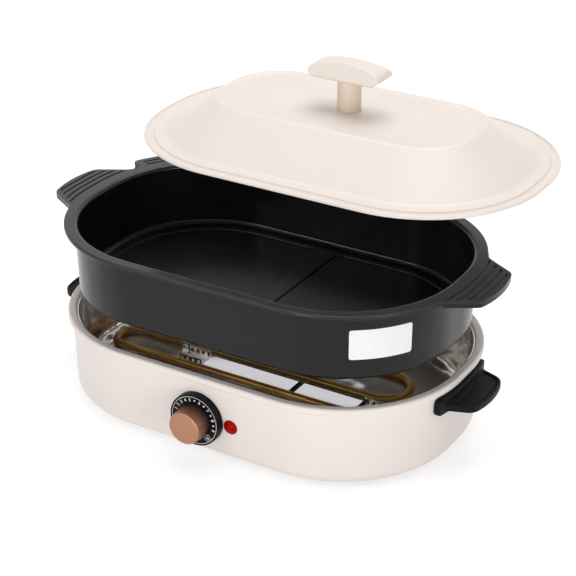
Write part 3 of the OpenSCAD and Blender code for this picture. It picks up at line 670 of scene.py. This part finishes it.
def makeDialPrint():
    bm = bmesh.new()
    bmesh.ops.create_circle(bm, cap_ends=True, segments=dial["ringSides"],
                            radius=dial["ringRadius"] * mm)
    keepBorder(bm, list(bm.faces), dial["ringWide"])
    ring = set(bm.faces)
    addSheet(bm, dial["offWide"], dial["offHigh"], onDial(dial["offAngle"]))
    keepBorder(bm, [face for face in bm.faces if face not in ring], dial["offLine"])
    for i, mark in enumerate(dial["marks"]):
        addMark(bm, mark, onDial(dial["from"] + i * dial["step"]))
    addMark(bm, dial["offMark"], onDial(dial["offAngle"]))
    for face in bm.faces:
        if face.normal.z < 0:
            face.normal_flip()
    raised = bmesh.ops.extrude_face_region(bm, geom=bm.faces[:])["geom"]
    bmesh.ops.translate(bm, verts=onlyVerts(raised), vec=(0, 0, dial["thick"] * mm))
    bmesh.ops.recalc_face_normals(bm, faces=bm.faces)
    middle = middleOf("dial_plate")
    middle.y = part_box("dial_plate")[0][1] + dial["sink"] * mm
    facing = Matrix.Translation(middle) @ Matrix.Rotation(math.pi / 2, 4, "X")
    bmesh.ops.transform(bm, matrix=facing, verts=bm.verts)
    addPiece("dialPrint", bm, "base", ["print"], dial["crease"])


makeDialPrint()
print("dial: %d marks" % len(dial["marks"]))

# Blank paper label on the pan's side, bent round the wall's corner
label = {
    "angle": -43, "top": 17, "wide": 54, "high": 27, "thick": 0.12,
    "corner": 2.2, "cornerSteps": 5, "slices": 18, "cutSnap": 0.0001,
    "wallTop": 104.65, "draft": 0.0197, "crease": 30,
}


def makeLabel():
    wall = label["wallTop"] * mm
    below = (label["top"] + label["high"] / 2) * mm
    bm = bmesh.new()
    addSheet(bm, label["wide"], label["high"], Matrix())
    roundCorners(bm, bm.verts[:], label["corner"], label["cornerSteps"])
    for i in range(1, label["slices"]):
        cut = (i / label["slices"] - 0.5) * label["wide"] * mm
        bmesh.ops.bisect_plane(bm, geom=bm.verts[:] + bm.edges[:] + bm.faces[:],
                               dist=label["cutSnap"] * mm, plane_co=(cut, 0, 0),
                               plane_no=(1, 0, 0))
    for vert in bm.verts:
        angle = math.radians(label["angle"]) + vert.co.x / wall
        height = vert.co.y
        reach = wall + (height - below) * label["draft"]
        vert.co = (reach * math.cos(angle), reach * math.sin(angle), height)
    bm.normal_update()
    for face in bm.faces:
        if face.normal.dot(face.calc_center_median()) < 0:
            face.normal_flip()
    bmesh.ops.solidify(bm, geom=bm.faces[:], thickness=-label["thick"] * mm)
    bmesh.ops.recalc_face_normals(bm, faces=bm.faces)
    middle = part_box("pan_shell")[1][2] - below
    corner = Vector((rim["halfLong"] * mm, -rim["halfWide"] * mm, middle))
    bmesh.ops.translate(bm, verts=bm.verts, vec=corner)
    addPiece("paperLabel", bm, "pan", ["paper"], label["crease"])


makeLabel()
print("label: %d slices" % label["slices"])

# Camera, where the photograph was taken from
view = {
    "place": (0.6930, -1.1365, 0.7876), "azimuth": 30.79, "elevation": 27.05,
    "lens": 106.07, "sensor": 36,
}


# Places a camera or lamp that looks along a direction
def aimed(name, data, place, direction):
    made = bpy.data.objects.new(name, data)
    made.location = place
    made.rotation_mode = "QUATERNION"
    made.rotation_quaternion = direction.to_track_quat("-Z", "Y")
    bpy.context.scene.collection.objects.link(made)
    return made


def makeCamera():
    turn = math.radians(view["azimuth"])
    rise = math.radians(view["elevation"])
    level = math.cos(rise)
    ahead = Vector((-math.sin(turn) * level, math.cos(turn) * level, -math.sin(rise)))
    data = bpy.data.cameras.new("photoCamera")
    data.sensor_width = view["sensor"]
    data.lens = view["lens"]
    bpy.context.scene.camera = aimed("photoCamera", data, view["place"], ahead)


makeCamera()
print("camera: lens %.1f mm" % view["lens"])

# Studio: soft lamps, white world, white floor that keeps the shadow
studio = {
    "aim": (0.02, 0, 0.14), "white": (1, 1, 1, 1), "worldLight": 0.44,
    "floorSize": 30, "floorTone": (0.9, 0.9, 0.9, 1), "floorRough": 0.9, "floorWhite": 2.15,
    "nearGlow": 0.27, "farGlow": 0.42, "nearReach": 0.5, "farReach": 2.5,
}
lamps = {
    "topLamp": {"place": (-0.1, 0.6, 1.85), "size": 1.7, "power": 21},
    "edgeLamp": {"place": (-0.9, -1.45, 1.05), "size": 0.3, "power": 3},
    "frontLamp": {"place": (0.1, -1.9, 0.27), "size": 0.5, "power": 8.6},
    "sideLamp": {"place": (1.7, -0.9, 0.25), "size": 0.5, "power": 8},
}


def makeLamps():
    for name, lamp in lamps.items():
        data = bpy.data.lights.new(name, "AREA")
        data.shape = "DISK"
        data.size = lamp["size"]
        data.energy = lamp["power"]
        aimed(name, data, lamp["place"], Vector(studio["aim"]) - Vector(lamp["place"]))


# Rays that see the white background: straight, mirrored and through glass
def seenRays(graph):
    def ray(name):
        return graph.node("ShaderNodeLightPath", {}, name)
    return ray("Is Camera Ray").orElse(ray("Is Glossy Ray")).orElse(ray("Is Transmission Ray"))


# World that is white where it is seen and dimmer where it lights
def makeWorld():
    world = bpy.data.worlds.new("whiteStudio")
    bpy.context.scene.world = world
    sky = Graph(world)
    strength = seenRays(sky) * (1 - studio["worldLight"]) + studio["worldLight"]
    background = sky.tree.nodes["Background"]
    sky.set(background, {"Color": studio["white"], "Strength": strength})


# Floor: pale where it is lit, with a share of white where it is seen, more of it far off
def paleFloor():
    paint = Paint("paleFloor")
    paint.feed(colour=studio["floorTone"], rough=studio["floorRough"])
    lit = Value(paint, paint.shader.outputs[0])
    glow = {"Color": studio["white"], "Strength": studio["floorWhite"]}
    white = paint.node("ShaderNodeEmission", glow)
    where = paint.coordinate("Object")
    reach = paint.node("ShaderNodeVectorMath", {0: where}, "Value", operation="LENGTH")
    far = reach.span(studio["nearReach"], studio["farReach"])
    more = far * (studio["farGlow"] - studio["nearGlow"])
    share = seenRays(paint) * (more + studio["nearGlow"])
    both = paint.node("ShaderNodeMixShader", {0: share, 1: lit, 2: white})
    paint.set(paint.tree.nodes["Material Output"], {"Surface": both})
    return paint.material


def makeFloor():
    bm = bmesh.new()
    bmesh.ops.create_grid(bm, x_segments=1, y_segments=1, size=studio["floorSize"])
    mesh = bpy.data.meshes.new("paleFloor")
    bm.to_mesh(mesh)
    bm.free()
    mesh.materials.append(paleFloor())
    floor = bpy.data.objects.new("paleFloor", mesh)
    bpy.context.scene.collection.objects.link(floor)


makeLamps()
makeWorld()
makeFloor()
print("studio:", len(lamps), "lamps")

bpy.context.scene.view_settings.view_transform = "Standard"
